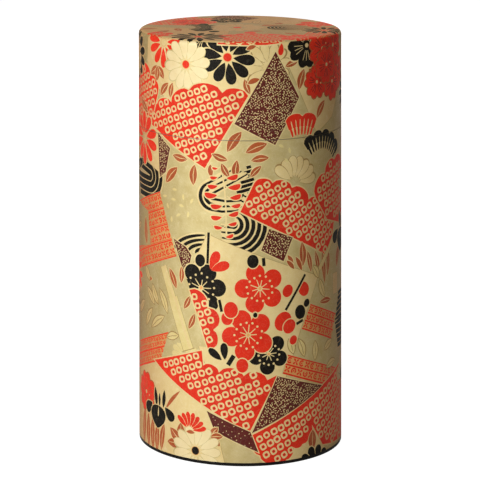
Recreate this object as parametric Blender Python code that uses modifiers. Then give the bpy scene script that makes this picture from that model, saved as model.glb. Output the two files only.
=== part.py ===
"""Washi-covered tea caddy: a double-walled tin canister with a slip-on lid and an inner lid.

The origin is the centre of the foot, on the surface the caddy stands on, and +Z is up. Units are metres.
Every piece is turned about the Z axis: a section is drawn in the XZ plane and spun by a Screw modifier.
"""

import math

import bpy

# Driving dimensions
OUTER_RADIUS = 0.0400  # outside of the paper, on the body and on the lid
HEIGHT = 0.1620  # foot to the top of the lid
SEAM_HEIGHT = 0.1245  # lower edge of the lid
NECK_HEIGHT = 0.1480  # rim of the inner sleeve, hidden by the lid
SHOULDER_RADIUS = 0.0020  # rounding between the lid's side and its top

# Sheet thicknesses and gaps
PAPER = 0.00020
TIN = 0.00030
GLUE_GAP = 0.00005  # between sheets that are bonded or crimped together
SEAM_GAP = 0.00020  # between the lid's lower edge and the body's rim
LID_CLEARANCE = 0.00015  # radial, lid over the neck
CAP_CLEARANCE = 0.00010  # radial, inner lid in the sleeve

# Radii of the layers, from the outside in
PAPER_INNER = OUTER_RADIUS - PAPER
TUBE_OUTER = PAPER_INNER - GLUE_GAP
TUBE_INNER = TUBE_OUTER - TIN
SLEEVE_OUTER = TUBE_INNER - LID_CLEARANCE
SLEEVE_INNER = SLEEVE_OUTER - TIN
CAP_OUTER = SLEEVE_INNER - CAP_CLEARANCE
CAP_INNER = CAP_OUTER - TIN

# Bottom end
FOOT_RIM_HEIGHT = 0.0012  # black rim that shows under the paper
FOOT_PANEL_HEIGHT = 0.0026
FOOT_CHANNEL_DEPTH = 0.0003
FOOT_BEAD_RADIUS = 0.0290
FOOT_BEAD_RISE = 0.0008

# Lid
LID_SKIRT_HEIGHT = 0.0060  # skirt of the top plate, below the shoulder's spring line
LID_JOGGLE = 0.0030  # slope where the lid tube steps in behind the skirt
PAPER_JOINT_ANGLE = 48  # degrees up the shoulder, where the side paper meets the top paper

# Inner lid
FLANGE_RADIUS = SLEEVE_OUTER + 0.00002
FLANGE_LIFT = 0.00015  # clearance under the flange
CAP_DEPTH = 0.0090
CAP_PANEL_RISE = 0.0012
KNOB_HEIGHT = 0.0088
KNOB_RADIUS = 0.0060
KNOB_BORE = 0.0013
RIVET_RADIUS = 0.0011
RIVET_HEAD_RADIUS = 0.0026
RIVET_HEAD = 0.0008
RIVET_DEPTH = 0.0050  # into the knob
WASHER_RADIUS = 0.0050

WALL_SEGMENTS = 64
SMALL_SEGMENTS = 32
ARC_STEPS = 3
SHARP_ANGLE = 40  # degrees between two faces, above which their edge is shaded crisp


def clear_scene():
    for obj in list(bpy.data.objects):
        bpy.data.objects.remove(obj)


def material(name, colour, roughness, metallic=0.0):
    made = bpy.data.materials.new(name)
    made.use_nodes = True
    shader = made.node_tree.nodes["Principled BSDF"]
    shader.inputs["Base Color"].default_value = (*colour, 1.0)
    shader.inputs["Roughness"].default_value = roughness
    shader.inputs["Metallic"].default_value = metallic
    return made


def arc(centre, radius, start, end, steps=ARC_STEPS):
    """Points of an arc in the section plane, from start to end degrees, ends included."""
    angles = [math.radians(start + (end - start) * i / steps) for i in range(steps + 1)]
    return [(centre[0] + radius * math.cos(a), centre[1] + radius * math.sin(a)) for a in angles]


def turned(name, section, finish, segments=WALL_SEGMENTS):
    """A solid of revolution. The section runs down its outer side; one that starts and ends on the axis is a
    disc, and any other is a closed ring."""
    on_axis = section[0][0] == 0 and section[-1][0] == 0
    edges = [(i, i + 1) for i in range(len(section) - 1)]
    if not on_axis:
        edges.append((len(section) - 1, 0))
    mesh = bpy.data.meshes.new(name)
    mesh.from_pydata([(r, 0, z) for r, z in section], edges, [])
    mesh.materials.append(finish)
    obj = bpy.data.objects.new(name, mesh)
    screw = obj.modifiers.new("turn", "SCREW")
    screw.axis = "Z"
    screw.angle = math.tau
    screw.steps = segments
    screw.render_steps = segments
    screw.use_merge_vertices = True
    screw.merge_threshold = 0.00001
    return obj


def shade_round(obj):
    """Keeps the turned result as the mesh, smooth round the axis and crisp at the section's corners."""
    evaluated = obj.evaluated_get(bpy.context.evaluated_depsgraph_get())
    mesh = bpy.data.meshes.new_from_object(evaluated)
    mesh.name = obj.name
    obj.modifiers.clear()
    obj.data = mesh
    mesh.shade_smooth()
    mesh.set_sharp_from_angle(angle=math.radians(SHARP_ANGLE))


def tube(name, outer, inner, low, high, finish, segments=WALL_SEGMENTS):
    section = [(outer, high), (outer, low), (inner, low), (inner, high)]
    return turned(name, section, finish, segments)


def body_parts(tin, black, paper):
    tube_foot = FOOT_CHANNEL_DEPTH + GLUE_GAP
    tube_top = SEAM_HEIGHT - SEAM_GAP
    body_tube = tube("body_tube", TUBE_OUTER, TUBE_INNER, tube_foot, tube_top, tin)
    body_paper = tube(
        "body_paper", OUTER_RADIUS, PAPER_INNER, FOOT_RIM_HEIGHT + GLUE_GAP, tube_top, paper
    )

    # The sleeve's rim is rounded over, so that it is smooth to pour across.
    rim = TIN / 2
    sleeve_section = [
        *arc((SLEEVE_OUTER - rim, NECK_HEIGHT - rim), rim, 180, 0),
        (SLEEVE_OUTER, tube_foot),
        (SLEEVE_INNER, tube_foot),
    ]
    inner_sleeve = turned("inner_sleeve", sleeve_section, tin)

    # One pressed end: a rim round the outside, a channel that holds both walls, and a raised panel.
    inner_wall = SLEEVE_INNER - GLUE_GAP
    panel_top = FOOT_PANEL_HEIGHT
    bead_top = panel_top + FOOT_BEAD_RISE
    bead = FOOT_BEAD_RADIUS
    foot_section = [
        (0, bead_top),
        (bead, bead_top),
        (bead + FOOT_BEAD_RISE, panel_top),
        (inner_wall, panel_top),
        (inner_wall, FOOT_CHANNEL_DEPTH),
        (PAPER_INNER, FOOT_CHANNEL_DEPTH),
        (PAPER_INNER, FOOT_RIM_HEIGHT),
        (OUTER_RADIUS, FOOT_RIM_HEIGHT),
        (OUTER_RADIUS, 0),
        (inner_wall - TIN, 0),
        (inner_wall - TIN, panel_top - TIN),
        (bead + FOOT_BEAD_RISE, panel_top - TIN),
        (bead, bead_top - TIN),
        (0, bead_top - TIN),
    ]
    bottom_plate = turned("bottom_plate", foot_section, black)
    return [body_tube, inner_sleeve, bottom_plate, body_paper]


def lid_parts(tin, paper):
    shoulder_centre = (OUTER_RADIUS - SHOULDER_RADIUS, HEIGHT - SHOULDER_RADIUS)
    spring_line = shoulder_centre[1]
    paper_inside = SHOULDER_RADIUS - PAPER
    plate_outside = paper_inside - GLUE_GAP
    plate_inside = plate_outside - TIN
    skirt_foot = spring_line - LID_SKIRT_HEIGHT

    plate_section = [
        (0, HEIGHT - PAPER - GLUE_GAP),
        *arc(shoulder_centre, plate_outside, 90, 0),
        (TUBE_OUTER, skirt_foot),
        (TUBE_INNER, skirt_foot),
        *arc(shoulder_centre, plate_inside, 0, 90),
        (0, HEIGHT - PAPER - GLUE_GAP - TIN),
    ]
    lid_top_plate = turned("lid_top_plate", plate_section, tin)

    # The tube steps in behind the plate's skirt, so that both lie flush under the paper.
    step_outer = TUBE_INNER - GLUE_GAP
    step_inner = step_outer - TIN
    step_foot = skirt_foot - GLUE_GAP - LID_JOGGLE
    tube_section = [
        (step_outer, spring_line),
        (step_outer, skirt_foot - GLUE_GAP),
        (TUBE_OUTER, step_foot),
        (TUBE_OUTER, SEAM_HEIGHT),
        (TUBE_INNER, SEAM_HEIGHT),
        (TUBE_INNER, step_foot),
        (step_inner, skirt_foot - GLUE_GAP),
        (step_inner, spring_line),
    ]
    lid_tube = turned("lid_tube", tube_section, tin)

    joint = PAPER_JOINT_ANGLE
    joint_gap = math.degrees(GLUE_GAP / SHOULDER_RADIUS)
    side_section = [
        *arc(shoulder_centre, SHOULDER_RADIUS, joint, 0),
        (OUTER_RADIUS, SEAM_HEIGHT),
        (PAPER_INNER, SEAM_HEIGHT),
        *arc(shoulder_centre, paper_inside, 0, joint),
    ]
    lid_side_paper = turned("lid_side_paper", side_section, paper)
    top_section = [
        (0, HEIGHT),
        *arc(shoulder_centre, SHOULDER_RADIUS, 90, joint + joint_gap),
        *arc(shoulder_centre, paper_inside, joint + joint_gap, 90),
        (0, HEIGHT - PAPER),
    ]
    lid_top_paper = turned("lid_top_paper", top_section, paper)
    return [lid_tube, lid_top_plate, lid_side_paper, lid_top_paper]


def inner_lid_parts(tin, brass, steel):
    flange_foot = NECK_HEIGHT + FLANGE_LIFT
    flange_top = flange_foot + TIN
    panel = flange_top + CAP_PANEL_RISE
    well = CAP_INNER - TIN  # where the panel starts to rise
    hole = RIVET_RADIUS + CAP_CLEARANCE
    cap_section = [
        (hole, panel),
        (well - CAP_PANEL_RISE, panel),
        (well, flange_top),
        (FLANGE_RADIUS, flange_top),
        (FLANGE_RADIUS, flange_foot),
        (CAP_OUTER, flange_foot),
        (CAP_OUTER, NECK_HEIGHT - CAP_DEPTH),
        (CAP_INNER, NECK_HEIGHT - CAP_DEPTH),
        (CAP_INNER, flange_top - TIN),
        (well, flange_top - TIN),
        (well - CAP_PANEL_RISE, panel - TIN),
        (hole, panel - TIN),
    ]
    inner_lid_cap = turned("inner_lid_cap", cap_section, tin)

    # The knob is held by a rivet from below, with a washer between the rivet's head and the sheet.
    seat = panel + GLUE_GAP
    crown = seat + KNOB_HEIGHT
    waist = KNOB_RADIUS * 0.5
    grip_centre = (KNOB_RADIUS * 0.7, crown - KNOB_RADIUS * 0.3)
    knob_section = [
        (0, crown),
        *arc(grip_centre, KNOB_RADIUS * 0.3, 90, -60, 2 * ARC_STEPS),
        (waist, seat + KNOB_HEIGHT * 0.35),
        (waist, seat + KNOB_HEIGHT * 0.22),
        (KNOB_RADIUS * 0.8, seat + KNOB_HEIGHT * 0.1),
        (KNOB_RADIUS * 0.8, seat),
        (KNOB_BORE, seat),
        (KNOB_BORE, seat + RIVET_DEPTH + CAP_CLEARANCE),
        (0, seat + RIVET_DEPTH + CAP_CLEARANCE),
    ]
    inner_lid_knob = turned("inner_lid_knob", knob_section, brass, SMALL_SEGMENTS)

    washer_top = panel - TIN - GLUE_GAP
    inner_lid_washer = tube(
        "inner_lid_washer", WASHER_RADIUS, hole, washer_top - TIN, washer_top, tin, SMALL_SEGMENTS
    )

    head_top = washer_top - TIN - GLUE_GAP
    rivet_section = [
        (0, seat + RIVET_DEPTH),
        (RIVET_RADIUS, seat + RIVET_DEPTH),
        (RIVET_RADIUS, head_top),
        (RIVET_HEAD_RADIUS, head_top),
        (RIVET_HEAD_RADIUS * 0.7, head_top - RIVET_HEAD),
        (0, head_top - RIVET_HEAD),
    ]
    inner_lid_rivet = turned("inner_lid_rivet", rivet_section, steel, SMALL_SEGMENTS)
    return [inner_lid_cap, inner_lid_knob, inner_lid_washer, inner_lid_rivet]


def main():
    clear_scene()
    tin = material("tinplate", (0.72, 0.70, 0.64), 0.28, 1.0)
    black = material("black_lacquer", (0.012, 0.011, 0.011), 0.35)
    paper = material("printed_washi", (0.70, 0.52, 0.26), 0.55)
    brass = material("knob_metal", (0.74, 0.62, 0.38), 0.25, 1.0)
    steel = material("rivet_steel", (0.60, 0.60, 0.60), 0.35, 1.0)

    caddy = bpy.data.collections.new("tea_caddy")
    bpy.context.scene.collection.children.link(caddy)
    pieces = [*body_parts(tin, black, paper), *lid_parts(tin, paper), *inner_lid_parts(tin, brass, steel)]
    for piece in pieces:
        caddy.objects.link(piece)
    for piece in pieces:
        shade_round(piece)


main()
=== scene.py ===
"""Looks of the washi-covered tea caddy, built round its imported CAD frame.

The printed paper is geometry, not an image. Traditional motifs are drawn flat, in millimetres, as outlines in
painter's order; the overlay is cut into one mesh for each ink, and each mesh is wrapped round the caddy.
"""

import cmath
import math
import random

import bpy
import numpy as np
from mathutils import Matrix, Vector
from mathutils.geometry import delaunay_2d_cdt


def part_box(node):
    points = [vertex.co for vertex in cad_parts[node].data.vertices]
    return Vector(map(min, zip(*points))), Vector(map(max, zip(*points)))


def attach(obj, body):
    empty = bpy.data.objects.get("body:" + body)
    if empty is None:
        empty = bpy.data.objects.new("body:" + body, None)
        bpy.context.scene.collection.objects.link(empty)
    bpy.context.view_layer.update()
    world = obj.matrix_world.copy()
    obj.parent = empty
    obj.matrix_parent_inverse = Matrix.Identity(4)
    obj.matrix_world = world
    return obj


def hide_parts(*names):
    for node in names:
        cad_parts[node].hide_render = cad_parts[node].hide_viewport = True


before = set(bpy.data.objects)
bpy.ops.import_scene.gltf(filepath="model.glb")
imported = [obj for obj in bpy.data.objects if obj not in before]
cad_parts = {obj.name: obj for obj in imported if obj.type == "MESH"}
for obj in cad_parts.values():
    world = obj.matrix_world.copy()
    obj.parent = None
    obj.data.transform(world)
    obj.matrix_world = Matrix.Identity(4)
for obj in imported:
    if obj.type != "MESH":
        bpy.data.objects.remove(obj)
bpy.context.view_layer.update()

MM = 0.001
TAU = math.tau


def bottom_of(node):
    """The lowest point of a CAD node, in mm."""
    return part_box(node)[0].z / MM


def top_of(node):
    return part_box(node)[1].z / MM


def radius_of(node):
    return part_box(node)[1].x / MM


# Sizes from the frame, in mm
PAPER_LOW = bottom_of("body_paper")
BODY_TOP = top_of("body_paper")
LID_LOW = bottom_of("lid_side_paper")
HEIGHT = top_of("lid_top_paper")
RADIUS = radius_of("body_paper")
TUBE_RADIUS = radius_of("body_tube")
TUBE_LOW = bottom_of("body_tube")
NECK_RADIUS = radius_of("inner_sleeve")
NECK_TOP = top_of("inner_sleeve")

# Sheet and paper
TIN = 0.3
PAPER = 0.2
SHOULDER = 2.0  # rounding between the lid's side and its top
SPRING_LINE = HEIGHT - SHOULDER
JOINT_ANGLE = math.radians(48)  # up the shoulder, where the side paper meets the top paper
SHEET_TOP = SPRING_LINE + SHOULDER * JOINT_ANGLE
DISC_RADIUS = RADIUS - SHOULDER + SHOULDER * (math.pi / 2 - JOINT_ANGLE)
INK_LIFT = 0.02  # the ink film over the paper
SHEET_START = -math.pi  # the side paper starts at the back, goes once round and laps over its own start
SHEET_END = math.pi + math.radians(4)
LAP_EASE = math.radians(6)  # over which the end of the sheet climbs onto its start

# How finely the print follows the caddy
STRIP = math.radians(2)
SHOULDER_STEPS = 6

HALF_REPEAT = 84  # mm by which the design on the back sits above or below the one on the front

# Inks
GOLD, CREAM, IVORY, STRAW, TAN, OLIVE = "gold", "cream", "ivory", "straw", "tan", "olive"
RED, RUST, MAROON, BLACK = "red", "rust", "maroon", "black"

rng = random.Random(8)


# ---------------------------------------------------------------- flat outlines, as complex numbers in mm


def turned_by(degrees):
    return cmath.exp(1j * math.radians(degrees))


def placed(outline, centre, degrees=0, size=1):
    spin = size * turned_by(degrees)
    return [centre + spin * point for point in outline]


def disc(radius, points=16):
    return [cmath.rect(radius, TAU * i / points) for i in range(points)]


def oval(length, width, points):
    return [complex(p.real * length / 2, p.imag * width / 2) for p in disc(1, points)]


def rounded_square(half, points=12):
    """A superellipse, between a circle and a square."""
    outline = []
    for i in range(points):
        angle = TAU * i / points
        reach = half / (math.cos(angle) ** 4 + math.sin(angle) ** 4) ** 0.25
        outline.append(cmath.rect(reach, angle))
    return outline


def drop(length, width, taper=1.0, points=16):
    """A petal that starts as a point at 0 and ends in a round tip at length."""
    outline = []
    for i in range(points):
        angle = TAU * i / points
        half = width / 2 * math.sin(angle) * math.sin(angle / 2) ** taper
        outline.append(complex(length * (1 - math.cos(angle)) / 2, -half))
    return outline


def notched_drop(length, width, points=20):
    """A cherry petal: a broad drop with a notch in its tip."""
    outline = []
    for i in range(points):
        angle = TAU * i / points
        tip = math.exp(-(((angle - math.pi) / 0.30) ** 2))
        x = length * (1 - math.cos(angle)) / 2 - 0.16 * length * tip
        outline.append(complex(x, -width / 2 * math.sin(angle) * math.sin(angle / 2) ** 0.7))
    return outline


def leaf_shape(length, width, bend=0.0, points=8):
    """A leaf, pointed at both ends and centred on 0. bend curves its midrib."""
    upper, lower = [], []
    for i in range(points + 1):
        t = i / points
        spine = complex((t - 0.5) * length, bend * length * math.sin(math.pi * t))
        half = width / 2 * math.sin(math.pi * t) ** 0.8
        if 0 < i < points:
            upper.append(spine + 1j * half)
            lower.append(spine - 1j * half)
        else:
            upper.append(spine)
    return upper + lower[::-1]


def ribbon(path, width, taper=False):
    """A line of some width along a path. With taper it thins out towards both ends."""
    left, right = [], []
    last = len(path) - 1
    for i, point in enumerate(path):
        ahead = path[min(i + 1, last)] - path[max(i - 1, 0)]
        side = 1j * ahead / abs(ahead) * width / 2
        if taper:
            side *= 0.15 + 0.85 * math.sin(math.pi * (0.08 + 0.84 * i / last))
        left.append(point + side)
        right.append(point - side)
    return right + left[::-1]


def arc(centre, radius, start, end, points):
    turns = [start + (end - start) * i / points for i in range(points + 1)]
    return [centre + cmath.rect(radius, math.radians(turn)) for turn in turns]


def area(outline):
    following = outline[1:] + outline[:1]
    return sum((a.conjugate() * b).imag for a, b in zip(outline, following)) / 2


def grown(outline, margin):
    """The outline moved outwards by margin at each corner."""
    if area(outline) < 0:
        outline = outline[::-1]
    moved = []
    for before, here, after in zip(outline[-1:] + outline[:-1], outline, outline[1:] + outline[:1]):
        into, out = here - before, after - here
        bisector = into / abs(into) + out / abs(out)
        normal = -1j * bisector / max(abs(bisector), 1e-6)
        sharpness = max(abs(bisector) / 2, 0.45)
        moved.append(here + normal * margin / sharpness)
    return moved


def scallops(points, bulge=0.34, steps=7):
    """A path from each point to the next by an arc that bulges to the left by bulge of the chord."""
    path = [points[0]]
    for a, b in zip(points, points[1:]):
        chord = b - a
        for i in range(1, steps + 1):
            t = i / steps
            path.append(a + chord * t + 1j * chord * bulge * (1 - (2 * t - 1) ** 2) ** 0.6)
    return path


def inside(points, outline, margin=0.0):
    """For each point, whether it lies in the outline and at least margin from its edge."""
    p = np.array(points)[:, None]
    a = np.array(outline)[None, :]
    b = np.roll(a, -1, axis=1)
    crosses = (a.imag > p.imag) != (b.imag > p.imag)
    rise = np.where(b.imag == a.imag, 1e-9, b.imag - a.imag)
    left = p.real < a.real + (b.real - a.real) * (p.imag - a.imag) / rise
    held = (crosses & left).sum(axis=1) % 2 == 1
    along = np.clip(((p - a) * (b - a).conj()).real / np.maximum(np.abs(b - a) ** 2, 1e-12), 0, 1)
    distance = np.abs(p - a - along * (b - a)).min(axis=1)
    return held & (distance >= margin)


def grid_in(outline, along, across, degrees, margin, start=None):
    """Points of a turned grid that lie inside an outline. The grid passes through start."""
    start = sum(outline) / len(outline) if start is None else start
    spin = turned_by(degrees)
    reach = int(max(abs(p - start) for p in outline) / along) + 2
    steps = range(-reach, reach + 1)
    points = [start + spin * complex(along * column, across * row) for row in steps for column in steps]
    return [p for p, ok in zip(points, inside(points, outline, margin)) if ok]


# ---------------------------------------------------------------- the print


class Print:
    """Shapes laid out flat. Each one covers whatever was painted before it."""

    def __init__(self, low, high):
        self.low, self.high = low, high
        self.origin = 0j
        self.shapes = []

    def at(self, degrees, height):
        """A place on the side sheet: degrees to the right of the front, and height in mm."""
        return self.origin + complex(math.radians(degrees) * RADIUS, height)

    def path(self, *places):
        return [self.at(*place) for place in places]

    def paint(self, ink, outline, centre=0j, degrees=0, size=1):
        """Keeps a shape, laid at its centre, unless it falls wholly off the sheet."""
        shape = placed(outline, centre, degrees, size)
        xs = [p.real for p in shape]
        ys = [p.imag for p in shape]
        across = max(xs) > self.low.real and min(xs) < self.high.real
        if across and max(ys) > self.low.imag and min(ys) < self.high.imag:
            self.shapes.append((ink, shape if area(shape) > 0 else shape[::-1]))

    def line(self, ink, path, width, taper=False):
        self.paint(ink, ribbon(path, width, taper))

    def edged(self, edge, ink, outline, margin, centre=0j, degrees=0):
        """A shape with an edge of another ink round it."""
        self.paint(edge, grown(outline, margin), centre, degrees)
        self.paint(ink, outline, centre, degrees)

    def stroke(self, path, width, edge):
        """A black line with a pale edge."""
        self.line(CREAM, path, width + edge)
        self.line(BLACK, path, width)


def kanoko(sheet, region, degrees=21, start=None):
    """Tie-dyed cloth: rows of pale rings on red, each tied by hand and so a little out of line."""
    ring_pitch, row_pitch, margin = 3.12, 3.42, 1.2
    sheet.edged(CREAM, RED, region, 0.5)
    for centre in grid_in(region, ring_pitch, row_pitch, degrees, margin, start):
        lean = degrees + rng.uniform(-14, 14)
        centre += complex(rng.uniform(-0.14, 0.14), rng.uniform(-0.14, 0.14))
        size = rng.uniform(0.94, 1.06)
        sheet.paint(CREAM, rounded_square(1.31), centre, lean, size)
        sheet.paint(RED, rounded_square(0.66, 8), centre, lean, size)
        sheet.paint(MAROON, disc(0.24, 5), centre, lean)


def cloud(sheet, top, bulge, rest, degrees=21, start=None):
    """A piece of tie-dyed cloth with a scalloped top. All places are on the side sheet."""
    region = scallops(sheet.path(*top), -bulge) + sheet.path(*rest)
    kanoko(sheet, region, degrees, sheet.at(*start) if start else None)


def speckle(sheet, region, pitch=0.84, length=0.78, thinning=0.3):
    """Dark cloth with short pale strokes in every direction. They thin out towards its lower left."""
    sheet.edged(CREAM, MAROON, region, 0.35)
    middle = sum(region) / len(region)
    reach = max(abs(p - middle) for p in region)
    for centre in grid_in(region, pitch, pitch, 31, 0.4):
        share = 0.5 + 0.5 * ((centre - middle) / reach * turned_by(-40)).real
        if rng.random() < thinning * (1 - share):
            continue
        centre += complex(rng.uniform(-0.25, 0.25), rng.uniform(-0.25, 0.25))
        half = turned_by(rng.uniform(0, 180)) * rng.uniform(0.5, 1.0) * length / 2
        knee = centre + 1j * half * rng.uniform(-0.6, 0.6)
        sheet.line(CREAM, [centre - half, knee, centre + half], rng.uniform(0.22, 0.29) + 0.06 * share)


def brocade(sheet, corner, along, across, bands, rows=2):
    """Woven bands side by side, parted by red lines, with rows of small curls and four-petalled flowers. The
    piece is a parallelogram: a corner, the way along each band, and the way across all of them."""
    whole = [corner, corner + along, corner + along + across, corner + across]
    sheet.edged(GOLD, TAN, whole, 0.35)
    unit = along / abs(along)
    degrees = math.degrees(cmath.phase(unit))
    step = across / bands
    cell = abs((step * unit.conjugate()).imag) * 0.84 / rows
    curl = arc(0j, cell * 0.33, -40, 240, 7)
    petal = drop(cell * 0.54, cell * 0.36, points=8)
    for band in range(bands):
        base = corner + step * band
        for share, width in ((0.0, 0.5), (0.09, 0.22), (1.0, 0.5)):
            sheet.line(RED, [base + step * share, base + step * share + along], width)
        for row in range(rows):
            start = base + step * (0.13 + 0.83 * (row + 0.5) / rows)
            for column in range(int(abs(along) / cell)):
                centre = start + unit * cell * (column + 0.5)
                turn = degrees + 90 * rng.randrange(4)
                if (row + column + band) % 2:
                    sheet.line(RED, placed(curl, centre, turn), cell * 0.22)
                    sheet.paint(RED, disc(cell * 0.14, 5), centre, turn)
                else:
                    for quarter in range(4):
                        sheet.paint(RED, petal, centre, degrees + 45 + 90 * quarter)


def leaf(sheet, centre, length, degrees, slim=0.40, bend=0.04):
    """A leaf with a pale edge and, unless it is very slim, a pale midrib."""
    sheet.paint(CREAM, leaf_shape(length + 0.8, length * slim + 0.6, bend), centre, degrees)
    sheet.paint(RUST, leaf_shape(length, length * slim, bend), centre, degrees)
    if length * slim > 2.0:
        spine = placed([-0.46 * length, 1j * bend * length, 0.40 * length], centre, degrees)
        sheet.line(CREAM, spine, 0.3, taper=True)


def maple(sheet, root, length, degrees):
    """Three leaves from one root."""
    for side in (-46, 46, 0):
        leaf(sheet, root + turned_by(degrees + side) * length * 0.5, length, degrees + side, slim=0.5)


def long_leaf(sheet, root, tip, width):
    """A slim leaf from its root to its tip."""
    span = tip - root
    leaf(sheet, (root + tip) / 2, abs(span), math.degrees(cmath.phase(span)), width / abs(span), 0.03)


def bamboo_leaf(sheet, root, tip, width=2.8, bend=0.04):
    """A slim pale leaf in two halves, tone on tone with the gold."""
    length = abs(tip - root)
    middle, degrees = (root + tip) / 2, math.degrees(cmath.phase(tip - root))
    sheet.paint(OLIVE, leaf_shape(length + 0.9, width + 0.8, bend), middle, degrees)
    sheet.paint(STRAW, leaf_shape(length, width, bend), middle, degrees)
    sheet.line(OLIVE, placed([-0.44 * length, 1j * bend * length, 0.36 * length], middle, degrees), 0.26)


def bamboo_spray(sheet, root, length, *directions):
    for degrees in directions:
        bamboo_leaf(sheet, root + turned_by(degrees) * 0.8, root + turned_by(degrees) * length)


def bamboo_stalk(sheet, start, end, width):
    """One length of a pale culm, with a shadow line and a light line along it and a ridge at its joint."""
    unit = (end - start) / abs(end - start)
    lines = ((OLIVE, 0, width + 0.3), (STRAW, 0, width), (CREAM, 0.22 * width, width / 4))
    for ink, offset, thickness in lines:
        edge = 1j * unit * offset
        sheet.line(ink, [start + edge, end + edge], thickness)
    sheet.line(OLIVE, [end - 0.62j * unit * width, end + 0.62j * unit * width], 0.3)


def drifting_petals(sheet, middle, spread, count):
    """Loose pale petals, tone on tone with the gold."""
    for k in range(count):
        place = middle + cmath.rect(spread * math.sqrt((k + 0.5) / count), 2.4 * k)
        sheet.paint(STRAW, leaf_shape(2.5, 1.1, 0.05, 6), place, rng.uniform(0, 360))


def plum(sheet, centre, radius, ink, degrees=0, count=5):
    """A plum blossom: round petals that run together, with short stamens and a ring of dots."""
    petals = [centre + turned_by(degrees + 360 * k / count) * radius * 0.62 for k in range(count)]
    round_petal = radius * (0.37 if count == 5 else 0.315)
    for tint, reach in ((CREAM, round_petal + 0.42), (ink, round_petal)):
        for petal in petals:
            sheet.paint(tint, disc(reach, 24), petal)
    sheet.paint(ink, disc(radius * 0.47, 20), centre)
    for k in range(9):
        ray = turned_by(degrees + 40 * k + rng.uniform(-5, 5))
        reach = radius * rng.uniform(0.30, 0.40)
        sheet.line(CREAM, [centre, centre + ray * reach * 0.5, centre + ray * reach], 0.34)
    for k in range(13):
        ray = turned_by(degrees + 360 * k / 13)
        sheet.paint(CREAM, disc(0.46, 8), centre + ray * radius * rng.uniform(0.46, 0.54))
    sheet.paint(CREAM, disc(radius * 0.10, 10), centre)
    sheet.paint(TAN, disc(radius * 0.065, 8), centre)


def bud(sheet, centre, radius, ink, degrees=90):
    """A closed blossom, a little longer than wide."""
    for tint, edge in ((CREAM, 0.75), (ink, 0.0)):
        sheet.paint(tint, oval(2.15 * radius + edge, 1.85 * radius + edge, 22), centre, degrees)


def petal_pair(sheet, root, length, ink, degrees, spread=34):
    """Two petals that open from one root."""
    for turn in (degrees + spread / 2, degrees - spread / 2):
        start = root + turned_by(turn) * 0.5
        sheet.paint(CREAM, drop(length + 0.7, length * 0.60 + 0.8, 0.7), start, turn)
        sheet.paint(ink, drop(length, length * 0.60, 0.7), start, turn)


def chrysanthemum(
    sheet, centre, radius, petals, ink, edge=CREAM, heart=RED, start=0, span=360, breadth=1.0
):
    """Drop-shaped petals round a small heart. With a span under 360 degrees it is seen from the side."""
    inner = radius * 0.21
    width = breadth * TAU * radius * 0.66 / petals * (span / 360)
    gap = 0.26 if edge == CREAM else 0.14
    count = petals if span == 360 else petals + 1
    for k in range(count):
        degrees = start + span * k / petals + rng.uniform(-2, 2)
        root = centre + turned_by(degrees) * inner - turned_by(degrees) * gap
        length = (radius - inner) * rng.uniform(0.93, 1.04)
        sheet.paint(edge, drop(length + 2 * gap, width + 2 * gap, 0.9, 18), root, degrees)
    for k in range(count):
        degrees = start + span * k / petals + rng.uniform(-1, 1)
        root = centre + turned_by(degrees) * inner
        length = (radius - inner) * rng.uniform(0.93, 1.0)
        sheet.paint(edge, drop(length + gap, width + 1.4 * gap, 0.9, 18), root, degrees)
        sheet.paint(ink, drop(length, width * 0.92, 0.9, 18), root, degrees)
    if heart:
        for tint, share in ((CREAM, 0.98), (TAN, 0.80), (heart, 0.70)):
            sheet.paint(tint, disc(inner * share), centre)


def cherry(sheet, centre, radius, ink, degrees=90, veins=MAROON, edge=RUST):
    """Five notched petals with fine veins."""
    turns = [degrees + 72 * k for k in range(5)]
    for turn in turns:
        behind = centre - turned_by(turn) * 0.2
        sheet.paint(edge, notched_drop(radius + 0.3, radius * 1.06 + 0.4), behind, turn)
    for turn in turns:
        sheet.paint(ink, notched_drop(radius * 0.95, radius * 0.98), centre, turn)
        for side in (-16, 0, 16):
            ray = turned_by(turn + side)
            sheet.line(veins, [centre + ray * radius * 0.2, centre + ray * radius * 0.6], 0.24)
        sheet.paint(CREAM, disc(0.36, 8), centre + turned_by(turn + 36) * radius * 0.34)
    sheet.paint(CREAM, disc(radius * 0.09, 10), centre)


def pine(
    sheet, centre, radius, ink, degrees=90, comb=CREAM, lobes=4, span=130, foot=0.42, bulge=0.30, reach=0.36
):
    """A pine bough as a fan: round lobes along the outside, needles that point in to its foot."""
    rim, gap = (OLIVE, 0.16) if ink == IVORY else (CREAM, 0.3)
    turns = [degrees + span * (k / lobes - 0.5) for k in range(lobes + 1)]
    outside = scallops([radius * 0.88 * turned_by(turn) for turn in turns], -bulge)
    waist = foot + 0.16
    band = outside + arc(0j, radius * waist, turns[-1], turns[0], 8)
    needles = round(math.radians(span) * radius * waist / 1.8)
    for tint, extra in ((rim, gap), (ink, 0.0)):
        sheet.paint(tint, grown(band, extra + 0.001), centre)
        for k in range(needles):
            turn = degrees + span * ((k + 0.5) / needles - 0.5)
            root = centre + turned_by(turn) * radius * (waist + 0.12)
            sheet.paint(tint, drop(radius * 0.28 + extra, 1.3 + 2 * extra), root, turn + 180)
    for k in range(1, needles):
        turn = degrees + span * (k / needles - 0.5)
        start = centre + turned_by(turn) * radius * (foot + 0.06)
        sheet.paint(comb, drop(radius * reach, 0.55), start, turn)


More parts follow.
